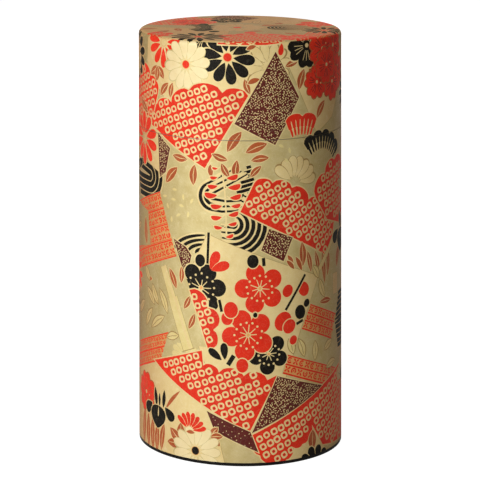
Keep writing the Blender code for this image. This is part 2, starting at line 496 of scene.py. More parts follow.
def water(
    sheet, eye, count, pitch, degrees, sweep=180, before=0, after=0, stretch=1, first=0, inked=0.74, bend=0.1
):
    """Flowing water: black bands nested round an eye. A band runs on for a while before and after its turn
    and bends up a little at the end. Unless it is heavily inked, it thins out at both ends."""
    for k in range(count, 0, -1):
        turn = arc(0j, first + (k - 0.5) * pitch, 90, 90 + sweep, 12)
        path = [complex(p.real * stretch, p.imag) for p in turn]
        start, end = path[0], path[-1]
        heading = (end - path[-2]) / abs(end - path[-2])
        if before:
            path = [start + before * (1 - 0.08 * k) * share for share in (1, 0.5)] + path
        if after:
            run = heading * after * (1 - 0.10 * k)
            path += [end + run * share * (1 + bend * share * 1j) for share in (0.3, 0.65, 1)]
        path = placed(path, eye, degrees)
        sheet.line(CREAM, path, pitch * (1.35 if k == count else 1.04))
        sheet.line(BLACK, path, pitch * inked, taper=inked < 0.8)


def wisteria(sheet, side, lean, *florets):
    """A hanging strand of florets, each a width and a place. A floret is a drop, flatter above than below. It
    hangs by its point from the stem, and its round end looks outwards, to one side."""
    for width, x, z in florets:
        place = sheet.at(x, z)
        tilt = side * (lean + rng.uniform(-5, 5))
        shape = [
            complex(side * (p.real - width / 2), p.imag * (0.3 if p.imag > 0 else 1.35))
            for p in drop(width, width * 0.62, 0.55)
        ]
        root = place - turned_by(tilt) * side * width / 2
        sheet.line(CREAM, [root, root - side * 1.2 + 0.7j], 0.45)
        sheet.edged(CREAM, RED, shape, 0.38, place, tilt)


def iris(sheet, centre, size):
    """An iris: three upright petals, a wing to each side, and a broad fall that ends in a point."""
    parts = [
        (leaf_shape(size * 1.1, size * 0.30), 0.50 + 0.92j, 84),
        (leaf_shape(size * 0.8, size * 0.20), 0.10 + 0.80j, 90),
        (leaf_shape(size * 1.1, size * 0.34), -0.26 + 0.92j, 98),
        (drop(size * 0.98, size * 0.80), 0.58 + 0.46j, -42),
        (drop(size * 0.98, size * 0.90), -0.66 + 0.46j, 216),
        (drop(size * 1.36, size * 1.75, 0.6), -0.10 - 0.92j, 88),
    ]
    for outline, root, degrees in parts:
        sheet.edged(CREAM, BLACK, outline, 0.35, centre + root * size, degrees)
    sheet.paint(CREAM, drop(size * 0.62, size * 0.14), centre + 0.40j * size, 266)


# ---------------------------------------------------------------- the layout of the side sheet


def streams(sheet):
    """Flowing water, which the panels and clouds partly cover."""
    at = sheet.at
    water(sheet, at(-61, 107), 4, 2.3, 180, sweep=175, before=16, after=12, inked=0.84)
    for k in range(8):  # a fall of short bars, each wider than the one above
        half = 1.2 + 0.8 * k
        middle = 4.8 - 0.25 * k
        height = 114.4 - 1.75 * k
        rise = 0.2 * half
        bar = sheet.path((middle - half, height - rise), (middle + half, height + rise))
        sheet.stroke(bar, 1.2, 0.6)
    water(sheet, at(-14.6, 103.0), 3, 2.1, 30, sweep=142, before=17, after=19, inked=0.7, bend=0.35)
    water(sheet, at(-3.9, 92.4), 6, 2.15, 176, sweep=165, before=5, stretch=1.05)
    water(sheet, at(-20.5, 80.8), 4, 1.75, 6, sweep=88, before=2, stretch=1.9, first=0.8)
    water(sheet, at(80.5, 49.5), 6, 1.9, 176, sweep=190, before=10, after=10, inked=0.84)


def panels(sheet):
    """The plain grounds, laid like cut scraps of cloth over the gold."""
    path = sheet.path
    for region in (
        path((-62, 170), (-64, 150), (-42, 136), (8, 138), (25, 160), (23, 172)),
        path((22, 160), (37.3, 138.7), (47.2, 125.4), (62.6, 130.3), (70, 138), (70, 172), (18, 172)),
        path((-18, 88.4), (-31, 70), (-24, 46), (-14, 30), (24, 30), (36, 52), (48.5, 70)),
        path((-80, 30), (-56, 38), (-16, 24), (-12, 11), (-6, -6), (-86, -6)),
        path((26, -6), (28, 8), (46, 14), (54, 8), (54, -6)),
        path((64.0, 68.8), (71.0, 68.6), (71.0, 60.4), (64.6, 60.6)),
        path((-60, 127), (-52.5, 126), (-49.5, 109), (-64, 112.5), (-58, 119)),
    ):
        sheet.edged(OLIVE, CREAM, region, 0.15)


def flowers_behind(sheet):
    """Flowers and pine that the clouds partly cover."""
    at = sheet.at
    cherry(sheet, at(-21, 163.5), 7.2, BLACK, 250, CREAM, CREAM)
    chrysanthemum(sheet, at(-47.1, 160.0), 10.0, 11, RED, CREAM, CREAM, 8, breadth=1.15)
    chrysanthemum(sheet, at(15.5, 152.5), 9.5, 12, CREAM, OLIVE, None, 10, breadth=1.4)
    chrysanthemum(sheet, at(-6.7, 156.1), 10.7, 10, BLACK, CREAM, RED, -8, breadth=1.3)
    chrysanthemum(sheet, at(-31, 152.5), 10.3, 12, IVORY, GOLD, RED, 8, breadth=1.45)
    chrysanthemum(sheet, at(31.4, 107.4), 10.6, 6, CREAM, OLIVE, None, 8, span=132, breadth=2.0)
    chrysanthemum(sheet, at(-32, 40.6), 6.4, 12, STRAW, GOLD, None, breadth=1.5)


def cloths(sheet):
    """The patterned scraps: brocade, tie-dye clouds and speckled cloth."""
    at, path = sheet.at, sheet.path
    for start, slope, length, far, bands, rows in (
        ((-37.5, 78.5), 200, 34, (-50.2, 101.7), 4, 2), ((-50, 36.5), 200, 26, (-43.5, 48), 2, 2),
        ((36.2, 51.1), -22, 19.4, (42.3, 59.6), 3, 1), ((24.0, 35.0), -20, 36, (27, 41.6), 2, 1),
    ):
        brocade(sheet, at(*start), turned_by(slope) * length, at(*far) - at(*start), bands, rows)
    sheet.paint(GOLD, path((-84, 95), (-63, 93), (-60, 80), (-84, 76)))

    cloud(
        sheet, ((4.5, 141.5), (-9.5, 142.5), (-29, 142.8), (-41, 137.3), (-53, 135.5), (-63, 131)), 0.24,
        ((-60, 127.5), (-52, 125.5), (-19.5, 113.5)), 21, (-24.4, 117.0),
    )
    cloud(
        sheet, ((64, 95), (52, 97), (41, 100.2), (29.6, 105.6), (18, 108), (8, 108.5)), 0.24,
        ((0.2, 97.3), (54.7, 77.7), (62, 81.8), (66, 90)), 27, (5.0, 100.2),
    )
    cloud(
        sheet, ((15, 32.8), (2, 34.6), (-11.6, 35.6), (-20.6, 37.8)), 0.26,
        ((-21.4, 43.5), (-55.7, 35.7), (5, 13), (21, 34.5)), 21, (-50, 34.3),
    )
    cloud(
        sheet, ((6.7, 12), (11, 4), (18, 1), (26, 1.5), (30.5, 6), (36.5, 6.4), (43.5, 13)), 0.22,
        ((46, 10.5), (52.6, 4), (62, 3), (82, 2), (82, 33), (68, 31), (52, 27)), 24, (10.6, 10.4),
    )
    cloud(sheet, ((82, 108), (66, 113), (55, 109), (46.5, 100.5)), 0.3, ((57, 91), (82, 86)), 12)
    cloud(sheet, ((-52, 140), (-60, 146), (-72, 149), (-84, 144)), 0.3, ((-84, 126), (-66, 122), (-56, 133)))
    rim = path((-14, 170), (-12, 161.0), (14, 160.7), (22, 161.2), (26, 170))
    kanoko(sheet, rim, 45, at(6.5, 162.1))

    for corners in (
        ((19.8, 158), (-3, 130.8), (19.5, 122.5), (34.3, 140)),
        ((-52, 124.5), (-50.5, 107.5), (-45.5, 110), (-42, 119.5)),
        ((-39.5, 85), (-31, 70), (-27.5, 79.5), (-31, 82.5)),
        ((16.1, 90.6), (11.6, 82.5), (24.4, 77.8), (30.1, 86.5)),
        ((20.8, 34), (6.4, 12.7), (52.1, 27.1)),
    ):
        speckle(sheet, path(*corners))
    speckle(sheet, path((-18.5, 20.5), (-14, 13), (10, 5.3), (5.6, 13.2)), 1.7, 0.5, 0.2)


def foliage(sheet):
    """Leaves, bamboo and pine between the scraps."""
    at = sheet.at
    plum(sheet, at(-21.8, 67.5), 10.6, BLACK, 4, 6)
    sheet.paint(GOLD, sheet.path((-32, 72), (-29.6, 68.6), (-28.4, 65.6), (-17, 45), (-42, 45), (-42, 70)))
    for degrees, height, length, turn in (
        (4, 145, 6, 110), (7.5, 147, 5, 20), (6.3, 159.8, 4, 20), (-3, 124, 9.5, 55), (9, 121.5, 9, 22),
        (11, 117.3, 7, 8), (-11, 118, 6.5, 160), (-35, 116.6, 7, 172), (-26, 110.5, 8, 86),
        (-41, 109.3, 9, 48), (-16, 112.6, 5, 95), (-8, 113, 6, 120), (-2, 113.5, 7, 85), (8.6, 112.6, 6, 45),
        (29.6, 153, 6, 17), (36, 146.8, 8.2, 73), (43, 148.6, 5, 112), (51, 134.3, 8, 52),
        (-46.5, 142, 7, 50), (-41, 142, 6, 78), (72, 75, 9, 70), (72, 149, 8, 60), (-68, 133.5, 8, 150),
        (-64, 117, 8, 165), (85, 120, 9, 70), (88, 78, 8, 110), (-87, 60, 9, 30), (-86, 136, 8, 120),
        (89, 14, 9, 40), (-61.1, 66.6, 4, 6),
    ):
        leaf(sheet, at(degrees, height), length, turn)
    for x, z, tip_x, tip_z, width in (
        (-46, 18, -35.1, 26.5, 1.5), (-69.5, 0, -67.5, 16, 3.4), (-62.6, 0, -62.8, 14, 3.2),
        (-57.5, 0, -57.7, 13, 3.2), (-53.4, 0, -52.8, 12, 3.0), (-49.6, 1.4, -47.1, 12.4, 2.8),
        (-65, 79.5, -66.5, 90, 3.0), (36.2, 84.4, 36.9, 75, 3.2), (27, 80, 30.4, 76, 1.7),
        (26.3, 78, 31.1, 74.4, 1.7), (32, 79, 36.2, 73.4, 1.8), (40, 80.6, 42.8, 72.2, 2.2),
        (46, 80, 49.4, 70.4, 2.2), (52, 79, 54.5, 66.5, 2.4), (58, 80, 57.5, 69, 2.4),
        (50, 59.6, 61.4, 59.2, 2.4), (44.2, 3, 44.2, 11, 4.2), (-42.6, 73.2, -37.6, 65.8, 2.7),
        (-34, 74.8, -34.2, 68.4, 2.2), (-28.4, 63.8, -32.4, 58.6, 2.3), (-25.6, 57.3, -29.4, 51.2, 2.3),
    ):
        long_leaf(sheet, at(x, z), at(tip_x, tip_z), width)
    maple(sheet, at(-52.5, 150.5), 6, 264)
    maple(sheet, at(-33.6, 6.8), 7.6, 142)
    maple(sheet, at(-16.6, 10.6), 5.0, 6)
    bamboo_stalk(sheet, at(-47.5, 73.4), at(-40.3, 61.9), 3.4)
    bamboo_stalk(sheet, at(-40.1, 62.2), at(-29.6, 43), 4.6)
    bamboo_stalk(sheet, at(64, 83), at(47, 70.6), 1.8)
    for x, z, tip_x, tip_z in (
        (-64.5, 63.0, -55.8, 57.4), (-51, 64.2, -44.2, 55.5), (-66, 47.6, -58.2, 55.4),
        (-59, 48.0, -46.8, 54), (-77, 51.0, -68.6, 57), (-44.6, 46.2, -36.2, 47.8),
        (34, 47.2, 37.9, 40.2), (45.9, 45.2, 45.9, 37.8), (54.2, 40.6, 62.6, 43.3),
        (56.4, 33.4, 67, 34.9), (-52, 58, -58, 65), (-61, 66, -66, 71),
        (27.6, 47.6, 30.6, 42.0), (44.6, 74.4, 48.8, 69.4), (54.6, 61.2, 50, 68.6),
    ):
        bamboo_leaf(sheet, at(x, z), at(tip_x, tip_z))
    bamboo_spray(sheet, at(-86, 82), 9, 60, 90, 120, 30)
    bamboo_spray(sheet, at(84, 100), 9, 60, 90, 120, 150)
    pine(sheet, at(35.6, 114.1), 21, RED, 88, CREAM, 2, 48, 0.54, 0.24, 0.24)
    pine(sheet, at(51.2, 108.8), 18.4, BLACK, 78, GOLD, 5, 96, 0.54, reach=0.22)
    pine(sheet, at(88, 24), 13, IVORY, 96, OLIVE, 5, 150)
    pine(sheet, at(-86, 104), 13, BLACK, 92, GOLD, 4, 120, reach=0.25)
    pine(sheet, at(84, 147), 12, IVORY, 90, OLIVE, 4, 140)
    drifting_petals(sheet, at(-36.5, 98), 7.5, 10)
    drifting_petals(sheet, at(26, 120), 4, 3)
    drifting_petals(sheet, at(80, 112), 8, 6)


def blossoms(sheet):
    """Flowers, buds and twigs on top of everything."""
    at = sheet.at
    sheet.line(CREAM, sheet.path((-9.6, 112), (-8.4, 106), (-7.6, 98), (-7.4, 88.5)), 0.6)
    wisteria(
        sheet, -1, 4, (2.2, -13.7, 113.8), (2.9, -14.4, 110.3), (3.9, -15.1, 107.0), (5.0, -16.1, 103.7),
        (4.4, -13, 99.5), (4.2, -13, 95.2), (3.3, -11.9, 91.4),
    )
    wisteria(
        sheet, 1, 18, (4.4, -4.2, 110.8), (4.9, -3.1, 107.2), (4.4, -2.5, 103.3), (3.6, -2.3, 99.9),
        (4.0, -3.6, 96.7), (3.3, -4.1, 92.9), (3.1, -5.7, 88.2),
    )

    chrysanthemum(sheet, at(-82, 153), 10.5, 12, BLACK, CREAM, RED, 12, breadth=1.25)
    chrysanthemum(sheet, at(-68, 121), 10.5, 10, RED, CREAM, CREAM, 20, breadth=1.2)
    chrysanthemum(sheet, at(-25.3, 4.6), 10.5, 13, IVORY, GOLD, BLACK, breadth=1.4)
    chrysanthemum(sheet, at(-29, 11.9), 7.4, 6, RED, CREAM, None, 14, span=122, breadth=1.6)
    leaf(sheet, at(-28.3, 11.4), 3.6, 0)
    chrysanthemum(sheet, at(88, 138), 9, 12, BLACK, CREAM, RED)
    chrysanthemum(sheet, at(92, 68), 9.5, 13, IVORY, GOLD, RED, breadth=1.4)
    chrysanthemum(sheet, at(-84, 66), 8, 10, RED, CREAM, CREAM)
    chrysanthemum(sheet, at(46, -3.8), 9.0, 11, BLACK, CREAM, RED, 9, breadth=1.5)
    cherry(sheet, at(-66, 21.5), 8.6, RED, 20, RUST)
    cherry(sheet, at(39.6, 159.6), 9.8, BLACK, 52, CREAM, CREAM)
    petal_pair(sheet, at(23.6, 161.6), 4.6, RED, 262, 0)
    for degrees, height, radius, turn in (
        (64, 158, 9, 40), (70, 147, 8, 100), (63, 144, 8, 60), (52.5, 157.5, 8.6, 75), (47.5, 145, 7.2, 20),
        (56.5, 151, 8, 50),
    ):
        cherry(sheet, at(degrees, height), radius, RED, turn)

    strip = scallops(sheet.path((-28.8, 66.2), (-18.1, 60.2)), 0.3)
    strip += scallops(sheet.path((-18.1, 60.2), (-14.8, 51.8)), 0.42)[1:]
    strip += scallops(sheet.path((-14.8, 51.8), (-14.4, 45)), 0.25)[1:]
    kanoko(sheet, sheet.path((-17.6, 44), (-22.8, 54.8)) + strip, 21, at(-25.7, 63.8))
    plum(sheet, at(15.8, 42.8), 8.0, BLACK, 48)
    plum(sheet, at(10.9, 68), 9.8, RED, 35)
    plum(sheet, at(4.4, 50.3), 10.2, RED, 42)
    for degrees, height, radius, ink, turn in (
        (-22.3, 78, 2.2, BLACK, 90), (7, 78.4, 2.4, BLACK, 90), (39.6, 60.6, 1.5, BLACK, 60),
        (35.1, 57.5, 2.6, BLACK, 100), (-7.1, 56.5, 2.4, RED, 90), (-5, 59.8, 2.9, RED, 90),
        (1.2, 38.6, 2.5, RED, 90), (27, 66.3, 2.3, RED, 60), (37.5, 66.2, 2.7, RED, 120),
        (24.2, 54.8, 3.6, RED, 50), (28, 52.6, 2.7, RED, 50), (30.5, 47.2, 1.7, RED, 60),
        (8.3, 57.9, 0.9, BLACK, 90),
    ):
        bud(sheet, at(degrees, height), radius, ink, turn)
    for start, end, width in (
        ((-17.3, 89), (-18, 77), 1.0), ((38.5, 71.7), (25.7, 59), 1.0), ((12.8, 79.6), (13.2, 76.5), 1.3),
        ((32.5, 53.1), (36.9, 54.3), 1.1), ((-11.4, 63.5), (-10, 59), 1.1), ((-6.6, 38.7), (-3.4, 42.4), 1.7),
    ):
        sheet.stroke(sheet.path(start, end), width, 0.7)
    petal_pair(sheet, at(-16.6, 74.5), 7.6, RED, 44, 46)
    for root, turn in ((at(-10.1, 40.5), 142), (at(-8.3, 40.7), 94)):
        sheet.edged(CREAM, BLACK, drop(6.4, 3.6, 0.7), 0.35, root, turn)
    iris(sheet, at(-52, 15.6), 6.6)
    iris(sheet, at(79, 82), 7.0)


def draw_side():
    """The sheet round the body and the lid's side. Half a round away the design comes again, moved up or down
    by half a repeat."""
    sheet = Print(complex(SHEET_START * RADIUS, PAPER_LOW), complex(SHEET_END * RADIUS, SHEET_TOP))
    low, high = sheet.low, sheet.high
    sheet.paint(GOLD, [low, complex(high.real, low.imag), high, complex(low.real, high.imag)])
    half_round = math.pi * RADIUS
    columns = [0j]
    for side in (-half_round, half_round):
        columns += [complex(side, -HALF_REPEAT), complex(side, HALF_REPEAT)]
    for layer in (streams, panels, flowers_behind, cloths, foliage, blossoms):
        for origin in columns:
            sheet.origin = origin
            layer(sheet)
    return sheet


def draw_top():
    """The round sheet on top of the lid, seen from above with the front at the bottom."""
    reach = complex(DISC_RADIUS, DISC_RADIUS)
    sheet = Print(-reach, reach)
    sheet.paint(GOLD, disc(DISC_RADIUS, 180))
    for region in (
        [-40 + 4j, -40 - 40j, -6 - 40j, -4 - 8j],
        [2 + 40j, 0 + 16j, 24 + 10j, 40 + 20j, 40 + 40j],
    ):
        sheet.edged(OLIVE, CREAM, region, 0.15)
    brocade(sheet, 22 - 30j, turned_by(75) * 36, turned_by(-15) * 14, 2)
    water(sheet, 18 + 1j, 5, 1.5, 10, before=14, after=12)
    near_edge = scallops([-8 - 26j, -2 - 20j, 8 - 18j, 18 - 24j], 0.28)[::-1]
    kanoko(sheet, near_edge + [-4 - 42j, 16 - 42j], 20)
    far_edge = scallops([-44 + 26j, -30 + 32j, -16 + 29j, -6 + 20j], 0.28)
    kanoko(sheet, far_edge + [-16 + 6j, -42 + 10j], 12)
    speckle(sheet, [-6 + 40j, -12 + 27j, 0 + 20j, 8 + 30j])
    for centre, length, degrees in (
        (-30 - 12j, 9, 60), (-24 - 6j, 8, 100), (12 + 8j, 9, 30), (16 + 14j, 8, 70), (6 - 10j, 7, 20),
        (-36 - 4j, 8, 20), (30 + 26j, 8, 120), (20 - 16j, 7, 140),
    ):
        leaf(sheet, centre, length, degrees)
    bamboo_spray(sheet, 6 + 12j, 11, 20, 50, 80, 350)
    pine(sheet, 12 + 29j, 17, IVORY, -6, TAN)
    pine(sheet, -24 + 1j, 15, BLACK, 8, GOLD, 3)
    chrysanthemum(sheet, -16 - 26j, 11, 13, BLACK, CREAM, RED)
    chrysanthemum(sheet, -1 + 1j, 11, 13, IVORY, GOLD, RED, breadth=1.4)
    chrysanthemum(sheet, 33 - 6j, 9, 12, BLACK, CREAM, RED)
    cherry(sheet, -20 + 17j, 8.5, RED, 60)
    for centre, radius, ink, degrees in (
        (-5 + 22j, 7, BLACK, 30), (22 - 27j, 8, RED, 10), (30 + 12j, 8, RED, 50), (-32 - 19j, 6.5, RED, 20),
    ):
        plum(sheet, centre, radius, ink, degrees)
    bud(sheet, 4 - 14j, 2.4, RED, 120)
    bud(sheet, -10 - 11j, 2.2, BLACK, 60)
    return sheet


# ---------------------------------------------------------------- from flat shapes to ink films


def overlay(sheet, guides):
    """Cuts the shapes and the guide lines against each other. Returns the points, the triangles that lie in
    the sheet's own shape, which is the first one, and the ink of each, from the last shape over it."""
    points, faces, edges = [], [], []
    for _, outline in sheet.shapes:
        faces.append(list(range(len(points), len(points) + len(outline))))
        points += outline
    for guide in guides:
        edges += [(i, i + 1) for i in range(len(points), len(points) + len(guide) - 1)]
        points += guide
    flat = [Vector((p.real, p.imag)) for p in points]
    spots, _, pieces, _, _, shapes_under = delaunay_2d_cdt(flat, edges, faces, 0, 1e-5)
    kept = [(face, max(under)) for face, under in zip(pieces, shapes_under) if 0 in under]
    spots = np.array([(v.x, v.y) for v in spots])
    triangles = np.array([face for face, _ in kept])
    inks = np.array([sheet.shapes[top][0] for _, top in kept])
    return spots, triangles, inks


def add_piece(name, mesh, finish, body, node=None):
    """Puts a mesh into the scene. It rides on a body and, if a CAD node is given, stands for that node."""
    mesh.materials.append(finish)
    piece = bpy.data.objects.new(name, mesh)
    bpy.context.scene.collection.objects.link(piece)
    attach(piece, body)
    if node:
        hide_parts(node)
    return piece


def lap_lift(turn):
    """How far the paper stands out where its end lies on its start."""
    t = np.clip((turn - (math.pi - LAP_EASE)) / LAP_EASE, 0, 1)
    return 1.1 * PAPER * t * t * (3 - 2 * t)


def side_surface(spots):
    """The place and the normal, round the caddy, of each spot of the flat side sheet."""
    turn = spots[:, 0] / RADIUS
    climb = np.clip(spots[:, 1] - SPRING_LINE, 0, None) / SHOULDER
    radius = RADIUS - SHOULDER + (SHOULDER + INK_LIFT) * np.cos(climb) + lap_lift(turn)
    z = np.where(climb > 0, SPRING_LINE + (SHOULDER + INK_LIFT) * np.sin(climb), spots[:, 1])
    points = np.stack([radius * np.sin(turn), -radius * np.cos(turn), z], axis=1)
    normals = np.stack([np.sin(turn) * np.cos(climb), -np.cos(turn) * np.cos(climb), np.sin(climb)], axis=1)
    return points, normals


def top_surface(spots):
    """The place and the normal of each spot of the flat top sheet, which bends down at the shoulder."""
    reach = np.hypot(spots[:, 0], spots[:, 1])
    flat_radius = RADIUS - SHOULDER
    fall = np.clip(reach - flat_radius, 0, None) / SHOULDER
    radius = np.where(fall > 0, flat_radius + (SHOULDER + INK_LIFT) * np.sin(fall), reach)
    z = SPRING_LINE + (SHOULDER + INK_LIFT) * np.cos(fall)
    heading = spots / np.maximum(reach, 1e-9)[:, None]
    points = np.stack([heading[:, 0] * radius, heading[:, 1] * radius, z], axis=1)
    normals = np.stack([heading[:, 0] * np.sin(fall), heading[:, 1] * np.sin(fall), np.cos(fall)], axis=1)
    return points, normals


def side_guides():
    """Upright lines that let the sheet bend round the caddy, and level ones at the seam and the shoulder."""
    left, right = SHEET_START * RADIUS, SHEET_END * RADIUS
    strips = round((SHEET_END - SHEET_START) / STRIP)
    uprights = [left + (right - left) * i / strips for i in range(1, strips)]
    levels = [BODY_TOP, LID_LOW]
    levels += [SPRING_LINE + (SHEET_TOP - SPRING_LINE) * i / SHOULDER_STEPS for i in range(SHOULDER_STEPS)]
    guides = [[complex(x, PAPER_LOW), complex(x, SHEET_TOP)] for x in uprights]
    return guides + [[complex(left, level), complex(right, level)] for level in levels]


def top_guides():
    """Rings where the top sheet bends down over the shoulder."""
    rings = []
    flat_radius = RADIUS - SHOULDER
    for i in range(SHOULDER_STEPS):
        ring = disc(flat_radius + (DISC_RADIUS - flat_radius) * i / SHOULDER_STEPS, 180)
        rings.append(ring + ring[:1])
    return rings


def lay_films(prefix, body, surface, cut, low, high, finishes):
    """Makes a film of each ink from the triangles between two heights of the sheet, with true normals."""
    spots, triangles, inks = cut
    points, normals = surface(spots)
    middle = spots[triangles, 1].mean(axis=1)
    chosen = (middle > low) & (middle < high)
    for ink in sorted(finishes):
        mine = triangles[chosen & (inks == ink)]
        if len(mine):
            used, compact = np.unique(mine, return_inverse=True)
            name = f"{prefix}_{ink}"
            mesh = bpy.data.meshes.new(name)
            mesh.from_pydata((points[used] * MM).tolist(), [], compact.reshape(-1, 3).tolist())
            mesh.shade_smooth()
            mesh.normals_split_custom_set_from_vertices(normals[used].tolist())
            add_piece(name, mesh, finishes[ink], body)


# ---------------------------------------------------------------- materials


def srgb(*channels):
    """A colour from 0-255 values as Blender's linear numbers."""
    linear = [c / 255 / 12.92 if c <= 10 else ((c / 255 + 0.055) / 1.055) ** 2.4 for c in channels]
    return (*linear, 1.0)


class Nodes:
    """A material's node tree, with short ways to add and join nodes."""

    def __init__(self, name):
        self.material = bpy.data.materials.new(name)
        self.material.use_nodes = True
        self.tree = self.material.node_tree
        self.shader = self.tree.nodes["Principled BSDF"]

    def add(self, kind, output=0, settings=(), **inputs):
        """Adds a node and returns one of its outputs. An input has its name, or n0, n1 and so on, and takes
        a number, a colour or another node's output."""
        node = self.tree.nodes.new(kind)
        for key, value in dict(settings).items():
            setattr(node, key, value)
        for key, value in inputs.items():
            numbered = key[0] == "n" and key[1:].isdigit()
            self.join(node.inputs[int(key[1:]) if numbered else key.replace("_", " ")], value)
        return node.outputs[output]

    def join(self, socket, value):
        if isinstance(value, bpy.types.NodeSocket):
            self.tree.links.new(value, socket)
        else:
            socket.default_value = value

    def set(self, **inputs):
        for key, value in inputs.items():
            self.join(self.shader.inputs[key.replace("_", " ")], value)

    def place(self):
        """The place on the piece, in millimetres."""
        here = self.add("ShaderNodeTexCoord", "Object")
        return self.add("ShaderNodeVectorMath", settings={"operation": "SCALE"}, n0=here, Scale=1000.0)

    def round_place(self):
        """Distance from the axis and height, in millimetres, so that a pattern runs in rings and hoops."""
        split = self.tree.nodes.new("ShaderNodeSeparateXYZ")
        self.join(split.inputs[0], self.place())
        flat = self.add("ShaderNodeCombineXYZ", X=split.outputs[0], Y=split.outputs[1])
        reach = self.add("ShaderNodeVectorMath", "Value", settings={"operation": "LENGTH"}, n0=flat)
        return self.add("ShaderNodeCombineXYZ", X=reach, Z=split.outputs[2])

    def noise(self, vector, scale, detail=2.0, distortion=0.0):
        grain = {"Vector": vector, "Scale": scale, "Detail": detail, "Distortion": distortion}
        return self.add("ShaderNodeTexNoise", Roughness=0.55, **grain)

    def maths(self, operation, a, b=0.0, clamp=False):
        return self.add("ShaderNodeMath", settings={"operation": operation, "use_clamp": clamp}, n0=a, n1=b)

    def fit(self, value, low, high, to_low, to_high):
        ends = {"From_Min": low, "From_Max": high, "To_Min": to_low, "To_Max": to_high}
        return self.add("ShaderNodeMapRange", Value=value, **ends)

    def mix(self, share, a, b):
        return self.add("ShaderNodeMix", 2, settings={"data_type": "RGBA"}, n0=share, n6=a, n7=b)

    def fibres(self, vector, scale, width):
        """Thin wandering lines, where a noise passes through its middle value."""
        off = self.maths("ABSOLUTE", self.maths("SUBTRACT", self.noise(vector, scale, 0.5, 0.6), 0.5))
        return self.fit(off, 0.0, width, 1.0, 0.0)

    def bump(self, height, depth, strength=1.0):
        return self.add("ShaderNodeBump", Height=height, Distance=depth * MM, Strength=strength)


def washi_finish(ink, colour, shade, painted_edge_shade=None, roughness=0.55, metallic=0.0, fleck=0.10, gloss=0.2):
    """Ink on washi: blotchy where the paper drank it, with the fibres of the paper showing through. An ink
    with pearl or gold in it also carries painted shade: where it is seen from the side, its colour deepens to
    a darker, warmer edge colour, partly the pearl's own shift of colour and partly painted shade at the
    turning edges."""
    n = Nodes(f"ink_{ink}")
    here = n.place()
    blotch = n.noise(here, 0.22, 3.0)
    grain = n.noise(here, 5.0, 2.0)
    fibre = n.maths("MAXIMUM", n.fibres(here, 0.42, 0.022), n.fibres(here, 0.9, 0.02))
    tone = n.maths("ADD", n.fit(blotch, 0.32, 0.68, 0.0, 0.75), n.fit(grain, 0.3, 0.7, -0.15, 0.3), True)
    inked = n.mix(tone, srgb(*colour), srgb(*shade))
    # Painted shade: by how squarely the surface faces the view, the ink darkens and warms towards the turning
    # edges, partly the pearl's own shift of colour.
    if painted_edge_shade:
        facing = n.add("ShaderNodeLayerWeight", "Facing", Blend=0.5)
        inked = n.mix(n.fit(facing, 0.15, 0.95, 0.0, 0.9), inked, srgb(*painted_edge_shade))
    pale = n.mix(n.maths("MULTIPLY", fibre, fleck), inked, srgb(250, 238, 205))
    uneven = n.fit(grain, 0.3, 0.7, -0.07, 0.07)
    rough = n.maths("ADD", uneven, n.fit(fibre, 0.0, 1.0, roughness, roughness + 0.1))
    height = n.maths("ADD", n.maths("MULTIPLY", fibre, 0.8), n.maths("MULTIPLY", grain, 0.7))
    height = n.maths("ADD", height, n.maths("MULTIPLY", blotch, 1.6))
    n.set(Base_Color=pale, Roughness=rough, Metallic=metallic, Normal=n.bump(height, 0.035))
    n.set(Specular_IOR_Level=gloss)
    return n.material


def paper_finish():
    """Washi seen at the cut edges of the sheets, coloured far darker than its own pale tone as painted shade,
    so that the seams read dark.
    """
    n = Nodes("washi_core_painted_seam_shade")
    here = n.place()
    fibre = n.maths("MAXIMUM", n.fibres(here, 0.8, 0.03), n.fibres(here, 1.7, 0.03))
    # Painted shade: both fibre colours lie far below the paper's own pale tone, so the cut edges in the seams
    # read dark.
    colour = n.mix(n.maths("MULTIPLY", fibre, 0.5), srgb(168, 150, 112), srgb(206, 192, 158))
    n.set(Base_Color=colour, Roughness=0.85, Normal=n.bump(fibre, 0.03))
    return n.material


def tin_finish(name, colour, shade, roughness, depth=0.012):
    """Drawn tinplate: fine hoops from the tool, faint cloudy patches, and a dull film over the mirror."""
    n = Nodes(name)
    hoops = n.noise(n.round_place(), 3.2, 3.0)
    cloud = n.noise(n.place(), 0.12, 3.0)
    tone = n.maths("MULTIPLY", n.fit(hoops, 0.3, 0.7, 0.1, 0.9), n.fit(cloud, 0.3, 0.7, 0.4, 1.0))
    n.set(Base_Color=n.mix(tone, colour, shade), Metallic=0.72)
    n.set(Roughness=n.fit(cloud, 0.3, 0.7, roughness - 0.05, roughness + 0.09), Normal=n.bump(hoops, depth))
    return n.material


def lacquer_finish():
    """Black lacquer on the foot: a soft gloss over a faint orange-peel surface."""
    n = Nodes("foot_lacquer")
    here = n.place()
    peel = n.noise(here, 1.3, 2.0)
    dust = n.fit(n.noise(here, 0.35, 4.0), 0.55, 0.8, 0.0, 0.35)
    n.set(Base_Color=n.mix(dust, srgb(12, 11, 11), srgb(34, 31, 29)), Normal=n.bump(peel, 0.02))
    n.set(Roughness=n.fit(peel, 0.3, 0.7, 0.26, 0.42), Specular_IOR_Level=0.25)
    return n.material


